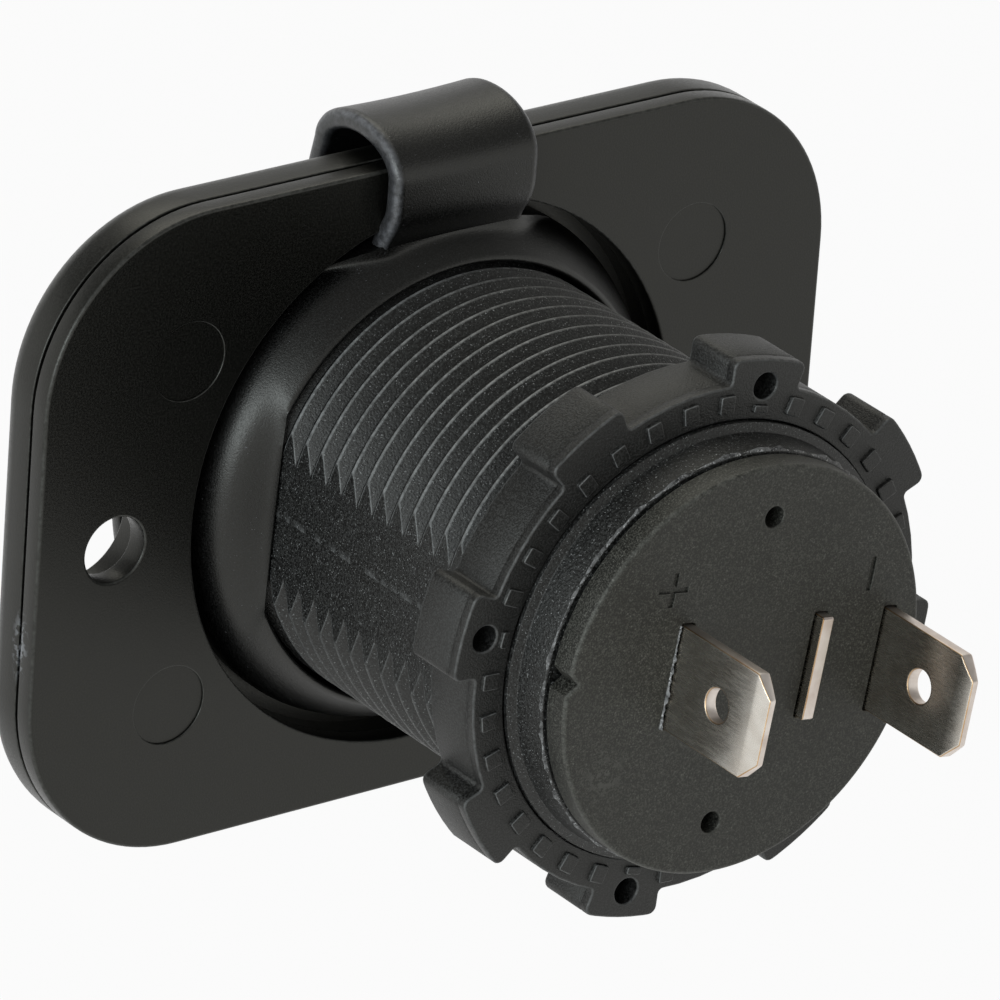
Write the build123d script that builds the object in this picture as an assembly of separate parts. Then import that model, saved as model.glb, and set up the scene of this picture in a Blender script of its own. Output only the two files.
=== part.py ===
"""Panel-mount 12 V power socket with a rubber dust cap, built as separate pieces in one frame.

All sizes are in millimetres. +Z is up. The socket's axis is the Y axis: the mouth and the dust cap
are at -Y, the terminals are at +Y, and the plate's back face lies on Y = 0.
"""
import math
import os

from build123d import *

# Mounting plate: a thick front layer and a thin back layer
plate_width = 55.6
plate_height = 40.3
plate_corner = 11.0
plate_thickness = 4.5
back_layer = 1.5
shadow_height = 0.5
shadow_inset = 0.4
front_rounding = 1.5
recess_clearance = 0.85
recess_depth = 3.0
screw_hole_radius = 2.05
screw_head_radius = 3.6
pin_mark_inset_x = 9.8
pin_mark_inset_z = 9.25
pin_mark_radius = 2.45
pin_mark_depth = 0.12

# Socket body: a tube with a front flange, a metric outside thread and two flats
thread_radius = 13.5
thread_depth = 0.62
thread_pitch = 1.5
thread_end = 25.56
first_crest = -1.815
seam_turn = 90.0
thread_sink = 0.05
thread_root_land = 0.04
flat_depth = 1.1
flat_start = -2.0
body_turn = 3.3
flange_width = 3.1
flange_thickness = 1.8
flange_rounding = 1.0
lip_width = 1.05
mouth_depth = 2.45
rear_step = 0.23
rear_end_length = 2.4
rear_end_taper = 0.25
end_rim_inset = 0.05
end_rim_overlap = 0.1
end_rim_width = 0.15
end_rim_slope = 0.2
plate_hole_clearance = 0.3

# Contacts inside the tube
bore_radius = 10.5
metal_wall = 0.45
lip_clearance = 0.1
floor_inset = 4.11
cup_corner = 3.5
floor_hole_radius = 4.0
washer_clearance = 0.2
washer_thickness = 1.2
collar_clearance = 0.1
rear_washer_lap = 0.4
contact_base_radius = 5.0
contact_base_thickness = 0.5
contact_button_radius = 2.6
contact_button_height = 1.5
contact_button_edge = 0.6
rivet_radius = 1.5
rivet_tail_radius = 2.5
rivet_tail_height = 0.7
rivet_grip = 1.2

# Blade terminals
terminal_turn = 8.7
blade_width = 6.3
blade_thickness = 0.8
blade_reach = 8.2
blade_corner = 1.2
blade_hole_radius = 1.0
blade_hole_reach = 4.1
inner_strip_width = 5.0
positive_side = 4.69
negative_inset = 0.85
stub_gap = 0.2
stub_reach = 0.7
foot_margin = 0.1

# Rear disc
disc_inset = 0.1
disc_thickness = 1.65
disc_bevel = 0.25
neck_height = 0.25
neck_inset = 0.45
spigot_clearance = 0.05
slot_clearance = 0.1
spigot_chord_clearance = 0.1
tail_pocket_clearance = 0.4
disc_hole_radius = 0.65
disc_hole_inset = 3.2
disc_hole_depth = 1.4
disc_notch_depth = 1.2
disc_notch_width = 1.6
sign_stroke = 0.35
sign_length = 2.1
sign_depth = 0.15
plus_side = 6.3
minus_side = -8.1
sign_height = 5.35

# Retaining nut
nut_end_gap = 0.11
nut_height = 4.2
nut_wall = 1.85
nut_clearance = 0.25
nut_bore_chamfer = 0.2
nut_turn = -13.3
lug_height = 1.55
lug_count = 4
holed_lug_angle = 18.0
plain_lug_angle = 18.5
lug_rounding = 0.5
lug_hole_radius = 0.8
lug_hole_inset = 1.65
pocket_count = 36
pocket_inset = 0.85
pocket_hole_angle = 7.0
pocket_length = 1.0
pocket_width = 0.85
pocket_depth = 0.18

# Rubber collar, strap and dust cap
ring_clearance = 0.3
ring_wall = 2.4
ring_edge_height = 0.9
ring_top = 1.8
ring_land = 0.25
ring_bulge_inset = 0.8
ring_bulge_height = 3.02
strap_width = 10.2
strap_thickness = 1.25
strap_gap = 0.25
loop_slack = 1.56
loop_drop = 0.5
loop_rise = 1.65
strap_root_inset = 0.3
strap_dip = 1.0
strap_foot_inset = 0.3
strap_bend_rise = 1.2
strap_split = 0.3
cap_clearance = 0.2
cap_overhang = 1.0
cap_thickness = 1.5
cap_rounding = 0.9
cap_rim = 3.6
cap_dish_depth = 0.3
skirt_clearance = 0.6
skirt_wall = 1.2
skirt_gap = 0.3
strap_overlap = 1.5

# Sizes that follow from the ones above
front_face = -plate_thickness
layer_face = -back_layer
recess_floor = -recess_depth
ring_bore_radius = thread_radius + ring_clearance
ring_radius = ring_bore_radius + ring_wall
ring_bulge_radius = ring_radius - ring_bulge_inset
recess_radius = ring_radius + recess_clearance
plate_hole_radius = thread_radius + plate_hole_clearance
screw_x = (recess_radius + plate_width / 2) / 2
pin_mark_x = plate_width / 2 - pin_mark_inset_x
pin_mark_z = plate_height / 2 - pin_mark_inset_z
root_radius = thread_radius - thread_depth
thread_length = thread_end - thread_pitch / 2 - first_crest
flat_distance = thread_radius - flat_depth
rear_end_radius = root_radius - rear_step
body_end = thread_end + rear_end_length
end_rim_radius = thread_radius - end_rim_inset
end_rim_front = thread_end - end_rim_overlap
end_rim_rear = thread_end + end_rim_width
flange_radius = thread_radius + flange_width
flange_face = front_face - flange_thickness
mouth_floor = flange_face + mouth_depth
shell_radius = bore_radius + metal_wall
mouth_radius = shell_radius + lip_width
shell_floor_rear = body_end - floor_inset
shell_floor_front = shell_floor_rear - metal_wall
washer_radius = bore_radius - cup_corner - washer_clearance
shell_mouth = mouth_floor - metal_wall
lip_radius = mouth_radius - lip_clearance
washer_front = shell_floor_front - washer_thickness
rear_washer_radius = floor_hole_radius + rear_washer_lap
contact_front = washer_front - contact_base_thickness
negative_foot_rear = shell_floor_rear + blade_thickness
positive_foot_rear = negative_foot_rear + blade_thickness
negative_side = negative_inset - shell_radius
stub_side = -(rear_washer_radius + stub_gap + blade_thickness / 2)
disc_radius = rear_end_radius - disc_inset
neck_radius = disc_radius - neck_inset
disc_hole_offset = disc_radius - disc_hole_inset
disc_front = body_end + neck_height
disc_rear = disc_front + disc_thickness
blade_tip = disc_rear + blade_reach
spigot_radius = shell_radius - spigot_clearance
spigot_chord = negative_side + blade_thickness / 2 + spigot_chord_clearance
nut_rear = thread_end - nut_end_gap
nut_front = nut_rear - nut_height
nut_bore_radius = thread_radius + nut_clearance
nut_radius = nut_bore_radius + nut_wall
lug_radius = nut_radius + lug_height
lug_hole_offset = lug_radius - lug_hole_inset
pocket_offset = nut_bore_radius + pocket_inset
loop_inner = (plate_thickness + loop_slack) / 2
loop_outer = loop_inner + strap_thickness
loop_y = strap_gap - loop_inner
loop_z = plate_height / 2 - loop_drop
strap_root = ring_bore_radius + strap_root_inset
strap_foot = ring_radius - strap_foot_inset
strap_bend = ring_radius + strap_bend_rise
cap_rear = flange_face - cap_clearance
cap_front = cap_rear - cap_thickness
cap_radius = flange_radius + cap_overhang
cap_dish_radius = cap_radius - cap_rim
skirt_radius = mouth_radius - skirt_clearance
skirt_end = shell_mouth - skirt_gap


def turned(points):
    """A solid of revolution about the Y axis from a closed run of (radius, y) points."""
    return revolve(make_face(Polyline(*points, close=True)), axis=Axis.Y)


def tube(radius, start, end):
    """A solid cylinder on the Y axis from y = start to y = end."""
    return turned([(0, start), (radius, start), (radius, end), (0, end)])


def prism(sketch, start, end):
    """A sketch drawn with x to the right and z up, made solid from y = start to y = end."""
    return extrude(Plane.XZ.offset(-start) * sketch, amount=start - end)


def block(x_low, x_high, y_low, y_high, z_low, z_high):
    """A box between two corners."""
    middle = Pos((x_low + x_high) / 2, (y_low + y_high) / 2, (z_low + z_high) / 2)
    return middle * Box(x_high - x_low, y_high - y_low, z_high - z_low)


def rod(radius, start, end, x, z):
    """A cylinder parallel to the Y axis."""
    return Pos(x, 0, z) * tube(radius, start, end)


def make_front_plate():
    outline = RectangleRounded(plate_width, plate_height, plate_corner)
    plate = prism(outline, front_face, layer_face)
    plate = fillet(plate.edges().group_by(Axis.Y)[0], front_rounding)
    plate -= tube(recess_radius, recess_floor, layer_face)
    plate -= tube(plate_hole_radius, front_face, recess_floor)
    for side in (-1, 1):
        plate -= rod(screw_head_radius, front_face, layer_face, side * screw_x, 0)
    return plate


def make_back_plate():
    outline = RectangleRounded(plate_width, plate_height, plate_corner)
    inner_width = plate_width - 2 * shadow_inset
    inner_height = plate_height - 2 * shadow_inset
    inner = RectangleRounded(inner_width, inner_height, plate_corner - shadow_inset)
    plate = prism(inner, layer_face, layer_face + shadow_height)
    plate += prism(outline, layer_face + shadow_height, 0)
    plate -= tube(recess_radius, layer_face, 0)
    for side in (-1, 1):
        plate -= rod(screw_hole_radius, layer_face, 0, side * screw_x, 0)
        for level in (-1, 1):
            plate -= rod(pin_mark_radius, -pin_mark_depth, 0, side * pin_mark_x, level * pin_mark_z)
    return plate


def make_thread():
    """One helical ridge on the root cylinder, drawn on the Z axis, laid along Y and cut by the two flats."""
    half = thread_pitch / 2 - thread_root_land
    foot = root_radius - thread_sink
    profile = make_face(Polyline((foot, -half), (thread_radius, 0), (foot, half), close=True))
    path = Helix(thread_pitch, thread_length, root_radius)
    ridge = sweep(Plane.XZ * profile, path=path, is_frenet=True)
    ridge = Pos(0, first_crest, 0) * (Rot(0, seam_turn, 0) * (Rot(-90, 0, 0) * ridge))
    reach = thread_radius + thread_depth
    between_flats = block(-flat_distance, flat_distance, first_crest - thread_pitch, thread_end, -reach, reach)
    return ridge & between_flats


def make_socket_body():
    outer_edge = flange_radius - flange_rounding
    shoulder = flange_face + flange_rounding
    middle = flange_rounding * (1 - math.sqrt(0.5))
    rounding = ThreePointArc(
        (outer_edge, flange_face), (flange_radius - middle, flange_face + middle), (flange_radius, shoulder)
    )
    rest = Polyline(
        (flange_radius, shoulder),
        (flange_radius, front_face),
        (root_radius, front_face),
        (root_radius, end_rim_front),
        (end_rim_radius, end_rim_front),
        (end_rim_radius, end_rim_rear),
        (rear_end_radius + rear_end_taper, end_rim_rear + end_rim_slope),
        (rear_end_radius, body_end),
        (shell_radius, body_end),
        (shell_radius, mouth_floor),
        (mouth_radius, mouth_floor),
        (mouth_radius, flange_face),
        (outer_edge, flange_face),
    )
    body = Rot(0, seam_turn, 0) * revolve(make_face([rounding, *rest.edges()]), axis=Axis.Y)
    reach = thread_radius + thread_depth
    for side in (-1, 1):
        near = side * flat_distance
        far = side * reach
        body -= block(min(near, far), max(near, far), flat_start, end_rim_front, -reach, reach)
    body += make_thread()
    return Rot(0, -body_turn, 0) * body


def make_contact_shell():
    """A drawn cup: a folded-out lip at the mouth and a rounded corner between the wall and the floor."""
    slant = math.sqrt(0.5)
    corner_radius = bore_radius - cup_corner
    corner_start = shell_floor_front - cup_corner
    outer_corner = cup_corner + metal_wall
    wall = Polyline(
        (bore_radius, corner_start),
        (bore_radius, shell_mouth),
        (lip_radius, shell_mouth),
        (lip_radius, mouth_floor),
        (shell_radius, mouth_floor),
        (shell_radius, corner_start),
    )
    outer_bend = ThreePointArc(
        (shell_radius, corner_start),
        (corner_radius + outer_corner * slant, corner_start + outer_corner * slant),
        (corner_radius, shell_floor_rear),
    )
    floor = Polyline(
        (corner_radius, shell_floor_rear),
        (floor_hole_radius, shell_floor_rear),
        (floor_hole_radius, shell_floor_front),
        (corner_radius, shell_floor_front),
    )
    inner_bend = ThreePointArc(
        (corner_radius, shell_floor_front),
        (corner_radius + cup_corner * slant, corner_start + cup_corner * slant),
        (bore_radius, corner_start),
    )
    return revolve(make_face([*wall.edges(), outer_bend, *floor.edges(), inner_bend]), axis=Axis.Y)


def make_insulating_washer():
    collar_radius = floor_hole_radius - collar_clearance
    washer = tube(washer_radius, washer_front, shell_floor_front)
    washer += tube(collar_radius, shell_floor_front, shell_floor_rear)
    return washer - tube(rivet_radius, washer_front, shell_floor_rear)


def make_rear_washer():
    washer = tube(rear_washer_radius, shell_floor_rear, negative_foot_rear)
    return washer - tube(rivet_radius, shell_floor_rear, negative_foot_rear)


def make_centre_contact():
    button_front = contact_front - contact_button_height
    button_flat = contact_button_radius - contact_button_edge
    button_side = button_front + contact_button_edge
    contact = turned(
        [
            (0, button_front),
            (button_flat, button_front),
            (contact_button_radius, button_side),
            (contact_button_radius, contact_front),
            (contact_base_radius, contact_front),
            (contact_base_radius, washer_front),
            (0, washer_front),
        ]
    )
    return contact - tube(rivet_radius, washer_front - rivet_grip, washer_front)


def make_contact_rivet():
    rivet = tube(rivet_radius, washer_front - rivet_grip, positive_foot_rear)
    return rivet + tube(rivet_tail_radius, positive_foot_rear, positive_foot_rear + rivet_tail_height)


def blade_outline(start):
    """The blade seen from the side: narrow inside the disc, full width outside, with cut corners."""
    narrow = inner_strip_width / 2
    wide = blade_width / 2
    cut = blade_corner
    outline = Polyline(
        (start, -narrow),
        (disc_front, -narrow),
        (disc_front, -wide),
        (blade_tip - cut, -wide),
        (blade_tip, cut - wide),
        (blade_tip, wide - cut),
        (blade_tip - cut, wide),
        (disc_front, wide),
        (disc_front, narrow),
        (start, narrow),
        close=True,
    )
    hole = Pos(disc_rear + blade_hole_reach, 0) * Circle(blade_hole_radius)
    return make_face(outline) - hole


def make_blade(side, start):
    """A blade that stands at x = side before it is turned."""
    sketch = Plane.YZ.offset(side - blade_thickness / 2) * blade_outline(start)
    return extrude(sketch, amount=blade_thickness)


def make_positive_terminal():
    half = inner_strip_width / 2
    outer = positive_side + blade_thickness / 2
    inner = -(rivet_tail_radius + foot_margin)
    terminal = make_blade(positive_side, negative_foot_rear)
    terminal += block(inner, outer, negative_foot_rear, positive_foot_rear, -half, half)
    terminal -= tube(rivet_radius, negative_foot_rear, positive_foot_rear)
    return Rot(0, -terminal_turn, 0) * terminal


def make_negative_terminal():
    half = inner_strip_width / 2
    outer = negative_side - blade_thickness / 2
    stub_low = stub_side - blade_thickness / 2
    stub_high = stub_side + blade_thickness / 2
    terminal = make_blade(negative_side, shell_floor_rear)
    terminal += block(outer, stub_high, shell_floor_rear, negative_foot_rear, -half, half)
    terminal += block(stub_low, stub_high, shell_floor_rear, disc_front, -half, half)
    wide = blade_width / 2
    terminal += block(stub_low, stub_high, disc_front, disc_rear + stub_reach, -wide, wide)
    return Rot(0, -terminal_turn, 0) * terminal


def make_rear_disc():
    disc = turned(
        [
            (0, positive_foot_rear),
            (spigot_radius, positive_foot_rear),
            (spigot_radius, body_end),
            (neck_radius, body_end),
            (neck_radius, disc_front),
            (disc_radius, disc_front),
            (disc_radius, disc_rear - disc_bevel),
            (disc_radius - disc_bevel, disc_rear),
            (0, disc_rear),
        ]
    )
    disc -= block(-disc_radius, spigot_chord, positive_foot_rear, body_end, -disc_radius, disc_radius)
    half_slot = blade_thickness / 2 + slot_clearance
    slot_reach = blade_width / 2 + slot_clearance
    for side in (positive_side, stub_side, negative_side):
        disc -= block(side - half_slot, side + half_slot, positive_foot_rear, disc_rear, -slot_reach, slot_reach)
    pocket_radius = rivet_tail_radius + tail_pocket_clearance
    disc -= tube(pocket_radius, positive_foot_rear, positive_foot_rear + rivet_tail_height + tail_pocket_clearance)
    for level in (-1, 1):
        disc -= rod(disc_hole_radius, disc_rear - disc_hole_depth, disc_rear, 0, level * disc_hole_offset)
    tip = disc_radius - disc_notch_depth
    notch = Polyline((tip, 0), (disc_radius, disc_notch_width / 2), (disc_radius, -disc_notch_width / 2), close=True)
    disc -= prism(make_face(notch), disc_front, disc_rear)
    half_stroke = sign_stroke / 2
    half_sign = sign_length / 2
    sign_floor = disc_rear - sign_depth
    for side in (plus_side, minus_side):
        low = sign_height - half_sign
        high = sign_height + half_sign
        disc -= block(side - half_stroke, side + half_stroke, sign_floor, disc_rear, low, high)
    low = sign_height - half_stroke
    high = sign_height + half_stroke
    disc -= block(plus_side - half_sign, plus_side + half_sign, sign_floor, disc_rear, low, high)
    return Rot(0, -terminal_turn, 0) * disc


def lug_sketch(angle):
    """One lug, centred on the upward direction, as wide as the given angle at its outer radius."""
    half = lug_radius * math.sin(math.radians(angle / 2))
    corner = math.sqrt(lug_radius**2 - half**2)
    inner = nut_bore_radius
    side = half * inner / corner
    outline = make_face(Polyline((-side, inner), (-half, lug_radius), (half, lug_radius), (side, inner), close=True))
    lug = outline & Circle(lug_radius)
    return fillet(lug.vertices().group_by(Axis.Y)[-1], lug_rounding)


def make_retaining_nut():
    step = 360 / lug_count
    outline = Circle(nut_radius)
    for number in range(lug_count):
        outline += Rot(0, 0, number * step) * lug_sketch(holed_lug_angle)
        outline += Rot(0, 0, (number + 0.5) * step) * lug_sketch(plain_lug_angle)
    nut = prism(outline, nut_front, nut_rear)
    wide = nut_bore_radius + nut_bore_chamfer
    nut -= turned(
        [
            (0, nut_front),
            (wide, nut_front),
            (nut_bore_radius, nut_front + nut_bore_chamfer),
            (nut_bore_radius, nut_rear - nut_bore_chamfer),
            (wide, nut_rear),
            (0, nut_rear),
        ]
    )
    low = pocket_offset - pocket_length / 2
    high = pocket_offset + pocket_length / 2
    half = pocket_width / 2
    pocket = block(-half, half, nut_rear - pocket_depth, nut_rear, low, high)
    cuts = []
    for number in range(lug_count):
        cuts.append(Rot(0, number * step, 0) * rod(lug_hole_radius, nut_front, nut_rear, 0, lug_hole_offset))
    for number in range(pocket_count):
        angle = (number + 0.5) * 360 / pocket_count
        near_hole = (angle + step / 2) % step - step / 2
        if abs(near_hole) > pocket_hole_angle:
            cuts.append(Rot(0, angle, 0) * pocket)
    nut -= cuts
    return Rot(0, nut_turn, 0) * nut


def arch_quarter(radius, rise, side):
    """A quarter of the strap's elliptical loop, from its leg up to the split at the crown."""
    reach = math.degrees(math.acos(strap_split / 2 / radius))
    start = 0 if side > 0 else 180 - reach
    return EllipticalCenterArc((loop_y, loop_z), radius, rise, start, arc_size=reach)


def strap_half(leg, side):
    """The strap on one side of the split: a quarter loop on a leg that is drawn in the y-z plane."""
    inner = arch_quarter(loop_inner, loop_rise, side)
    outer = arch_quarter(loop_outer, loop_rise + strap_thickness, side)
    crown = 1 if side > 0 else 0
    edges = [inner, outer, Line(inner @ crown, outer @ crown), *leg.edges()]
    return extrude(Plane.YZ * make_face(edges), amount=strap_width / 2, both=True)


def make_strap_ring():
    collar = [
        Line((ring_bore_radius, recess_floor), (ring_radius, recess_floor)),
        Line((ring_radius, recess_floor), (ring_radius, recess_floor + ring_edge_height)),
        ThreePointArc(
            (ring_radius, recess_floor + ring_edge_height),
            (ring_bulge_radius, recess_floor + ring_bulge_height),
            (ring_bore_radius + ring_land, ring_top),
        ),
        Line((ring_bore_radius + ring_land, ring_top), (ring_bore_radius, ring_top)),
        Line((ring_bore_radius, ring_top), (ring_bore_radius, recess_floor)),
    ]
    ring = revolve(make_face(collar), axis=Axis.Y)
    inside = loop_y + loop_inner
    outside = loop_y + loop_outer
    dip = outside - strap_dip
    leg = Polyline(
        (inside, loop_z),
        (inside, strap_foot),
        (recess_floor, strap_foot),
        (recess_floor, strap_root),
        (dip, strap_root),
        (dip, strap_foot),
        (outside, strap_bend),
        (outside, loop_z),
    )
    return ring + strap_half(leg, 1)


def make_dust_cap():
    skirt_inner = skirt_radius - skirt_wall
    cap = turned(
        [
            (0, cap_front + cap_dish_depth),
            (cap_dish_radius - cap_dish_depth, cap_front + cap_dish_depth),
            (cap_dish_radius, cap_front),
            (cap_radius - cap_rounding, cap_front),
            (cap_radius, cap_front + cap_rounding),
            (cap_radius, cap_rear),
            (skirt_radius, cap_rear),
            (skirt_radius, skirt_end),
            (skirt_inner, skirt_end),
            (skirt_inner, cap_rear),
            (0, cap_rear),
        ]
    )
    inside = loop_y - loop_inner
    outside = loop_y - loop_outer
    low = flange_radius - strap_overlap
    leg = Polyline(
        (outside, loop_z),
        (cap_rear - strap_thickness, flange_radius),
        (cap_rear - strap_thickness, low),
        (cap_rear, low),
        (cap_rear, flange_radius),
        (inside, loop_z),
    )
    return cap + strap_half(leg, -1)


makers = {
    "front_plate": make_front_plate,
    "back_plate": make_back_plate,
    "socket_body": make_socket_body,
    "contact_shell": make_contact_shell,
    "insulating_washer": make_insulating_washer,
    "rear_washer": make_rear_washer,
    "centre_contact": make_centre_contact,
    "contact_rivet": make_contact_rivet,
    "positive_terminal": make_positive_terminal,
    "negative_terminal": make_negative_terminal,
    "rear_disc": make_rear_disc,
    "retaining_nut": make_retaining_nut,
    "strap_ring": make_strap_ring,
    "dust_cap": make_dust_cap,
}

os.makedirs("parts", exist_ok=True)
for name, maker in makers.items():
    export_step(maker(), f"parts/{name}.step")
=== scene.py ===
"""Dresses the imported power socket: moulded edges, a cut thread, soft rubber, plated blades, and a studio.

Lengths are named in millimetres, as in the part's source, and become metres when a mesh is made.
The socket's axis is the Y axis. Outlines are drawn in the x-z plane, counter-clockwise.
"""
import math

import bmesh
import bpy
from mathutils import Matrix, Vector, noise
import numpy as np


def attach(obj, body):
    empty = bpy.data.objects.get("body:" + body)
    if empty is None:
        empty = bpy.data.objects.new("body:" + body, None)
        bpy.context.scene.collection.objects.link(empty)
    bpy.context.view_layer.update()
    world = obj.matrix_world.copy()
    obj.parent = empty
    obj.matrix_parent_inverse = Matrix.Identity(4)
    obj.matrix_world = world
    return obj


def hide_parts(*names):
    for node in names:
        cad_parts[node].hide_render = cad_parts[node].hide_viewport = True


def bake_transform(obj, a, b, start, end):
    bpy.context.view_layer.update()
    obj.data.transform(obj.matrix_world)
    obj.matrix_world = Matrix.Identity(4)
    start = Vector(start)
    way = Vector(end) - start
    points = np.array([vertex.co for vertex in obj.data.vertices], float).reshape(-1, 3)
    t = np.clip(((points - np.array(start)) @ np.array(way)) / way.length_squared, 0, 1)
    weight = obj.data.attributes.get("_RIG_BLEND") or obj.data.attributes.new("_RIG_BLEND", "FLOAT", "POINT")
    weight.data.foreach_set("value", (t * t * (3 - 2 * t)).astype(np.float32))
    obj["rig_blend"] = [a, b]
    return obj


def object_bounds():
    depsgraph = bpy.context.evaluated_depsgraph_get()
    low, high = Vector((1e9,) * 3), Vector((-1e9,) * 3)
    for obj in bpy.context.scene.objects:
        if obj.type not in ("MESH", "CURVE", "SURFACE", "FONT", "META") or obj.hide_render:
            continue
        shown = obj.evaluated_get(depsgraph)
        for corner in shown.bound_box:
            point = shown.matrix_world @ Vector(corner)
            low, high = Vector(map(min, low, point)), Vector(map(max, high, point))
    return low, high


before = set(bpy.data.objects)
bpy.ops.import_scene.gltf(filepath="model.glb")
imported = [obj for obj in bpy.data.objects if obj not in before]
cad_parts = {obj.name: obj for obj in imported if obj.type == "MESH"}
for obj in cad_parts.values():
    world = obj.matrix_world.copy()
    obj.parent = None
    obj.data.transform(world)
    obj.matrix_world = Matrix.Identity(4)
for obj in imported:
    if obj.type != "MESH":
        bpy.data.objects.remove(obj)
cad_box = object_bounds()

# Metres in a millimetre, the flat strip beside a rounded edge, and the steps of such an edge
MM = 0.001
SUPPORT = 0.04
EDGE_STEPS = 4

# Steps round circles and along borders
hole_steps = 40
lug_hole_steps = 32
screw_steps = 64
pin_mark_steps = 72
spigot_steps = 96
barrel_steps = 160
recess_steps = 192
collar_steps = 240
plate_corner_steps = 24
front_rounding_steps = 8
body_edge_steps = 5
flash_steps = 360
disc_steps = 150
burr_steps = 70

# Mounting plate
plate_width = 55.6
plate_height = 40.3
plate_corner = 11.0
front_face = -4.5
layer_face = -1.5
shadow_top = -1.25
shadow_inset = 0.4
front_rounding = 1.5
recess_radius = 17.05
recess_floor = -3.0
plate_hole_radius = 13.8
screw_x = 22.425
screw_hole_radius = 2.05
screw_head_radius = 3.6
pin_mark_x = 18.0
pin_mark_z = 10.9
pin_mark_radius = 2.45
pin_mark_depth = 0.12
plate_edge = 0.2
hole_edge = 0.14
shadow_edge = 0.08

# Socket body
thread_radius = 13.5
root_radius = 12.88
thread_pitch = 1.5
thread_phase = 0.81
thread_start = -2.2
thread_end = 25.56
flat_distance = 12.4
flat_start = -2.0
body_turn = 3.3
flange_radius = 16.6
flange_face = -6.3
flange_rounding = 1.0
mouth_radius = 12.0
mouth_floor = -3.85
shell_radius = 10.95
end_rim_radius = 13.45
end_rim_front = 25.46
end_rim_rear = 25.71
end_rim_slope = 0.2
rear_start_radius = 12.9
rear_end_radius = 12.65
body_end = 27.96
body_edge = 0.15
rear_start_rounding = 0.1
end_rim_rounding = 0.06
barrel_shoulder = 0.2
barrel_sharp_angle = 40.0
flash_height = 0.26
flash_least = 0.05
flash_root = 0.06
flash_grain = 0.35
flash_stretch = 4
# Rows of the flash: share of its height, distance from the barrel's end, and wear
flash_rows = ((0.0, 0.22, 0.5), (1.0, 0.1, 1.0), (0.0, 0.02, 0.6))

# Rear disc and blades
terminal_turn = 8.7
disc_radius = 12.55
disc_front = 28.21
disc_rear = 29.86
disc_bevel = 0.25
disc_front_edge = 0.1
neck_inset = 0.45
spigot_radius = 10.9
spigot_centre = 0.01
disc_hole_radius = 0.65
disc_hole_offset = 9.35
disc_hole_depth = 1.4
disc_hole_edge = 0.12
notch_depth = 0.75
notch_width = 1.3
burr_height = 0.3
burr_width = 0.16
burr_least = 0.15
burr_lean = 0.05
burr_root = 0.05
burr_grain = 0.4
burr_seed = 3
# Share of the disc's pale edges, which are wear and painted highlight, that is kept
disc_wear_and_highlight = 0.4
sign_stroke = 0.35
sign_length = 2.1
sign_depth = 0.15
sign_corner = 0.1
sign_edge = 0.05
plus_side = 6.3
minus_side = -8.1
sign_height = 5.35
blade_width = 6.3
blade_thickness = 0.8
blade_tip = 38.06
blade_corner = 1.2
blade_hole_radius = 1.0
blade_hole_y = 33.96
blade_edge = 0.1
blade_shoulder = 0.2
blade_taper = 1.3
taper_steps = 8
taper_power = 1.6
blade_tip_share = 0.5
blade_corner_share = 0.2
face_lean = 0.97
wall_lean = 0.2
stub_corner = 0.1
inner_strip_width = 5.0
positive_side = 4.69
negative_side = -10.1
stub_side = -5.0
stub_tip = 30.56
slot_clearance = 0.1
slot_corner = 0.15
slot_edge = 0.06
negative_foot_front = 23.85
negative_foot_rear = 24.65
positive_foot_rear = 25.45
foot_inner = -2.6

# Retaining nut
nut_front = 21.25
nut_rear = 25.45
nut_radius = 15.6
nut_bore_radius = 13.75
nut_turn = 13.3
lug_radius = 17.15
lug_count = 8
holed_lug_angle = 18.0
plain_lug_angle = 18.5
lug_rounding = 0.5
lug_root_rounding = 0.3
lug_arc_shares = (-0.66, -0.33, 0.0, 0.33, 0.66)
gap_arc_shares = (0.2, 0.4, 0.6, 0.8)
lug_hole_radius = 0.8
lug_hole_offset = 15.5
lug_hole_count = 4
tooth_count = 36
tooth_offset = 14.56
tooth_length = 1.1
tooth_width = 1.0
tooth_height = 0.2
tooth_edge = 0.07
tooth_edge_steps = 2
tooth_corner = 0.12
# Painted highlight round the rims of the nut's teeth, as a boost of their edge paleness
tooth_rim_highlight = 2.0
short_tooth_offset = 14.16
short_tooth_length = 0.46
nut_front_edge = 0.3
nut_rear_edge = 0.14
parting_offset = 0.7
parting_depth = 0.05
parting_half = 0.1
parting_floor_half = 0.03
nut_bore_edge = 0.2
# Share of the nut's pale edges, which are wear and painted highlight, that is kept
nut_wear_and_highlight = 0.4
bore_lip = 0.21
bore_lip_width = 0.6
bore_lip_edge = 0.06

# Rubber collar, strap and cap
ring_bore_radius = 13.8
ring_radius = 16.2
ring_top = 1.8
ring_land = 0.25
ring_edge_height = 0.9
ring_bulge_radius = 15.4
ring_bulge_height = 3.02
ring_bulge_steps = 14
ring_foot_edge = 0.2
ring_top_edge = 0.15
lip_floor = 0.25
lip_lift = 2.45
lip_blend = 0.35
ring_flat_gap = 0.15
ring_flat_reach = 15.3
lip_start = 15.0
lip_end = 38.0
strap_width = 10.2
strap_thickness = 1.25
strap_edge = 0.5
strap_saddle = 0.18
loop_y = -2.78
loop_z = 19.65
loop_half = 3.655
loop_rise = 2.275
strap_bend_z = 17.4
strap_foot_z = 15.9
strap_dip = 1.0
strap_plunge = 0.32
strap_root = 1.0
bend_steps = 6
bend_passes = 6
crown_steps = 40
front_bow = 0.3
front_drop = 1.2
cap_bow = 0.12
cap_rise = 0.7
cap_reach = 1.5
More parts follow.
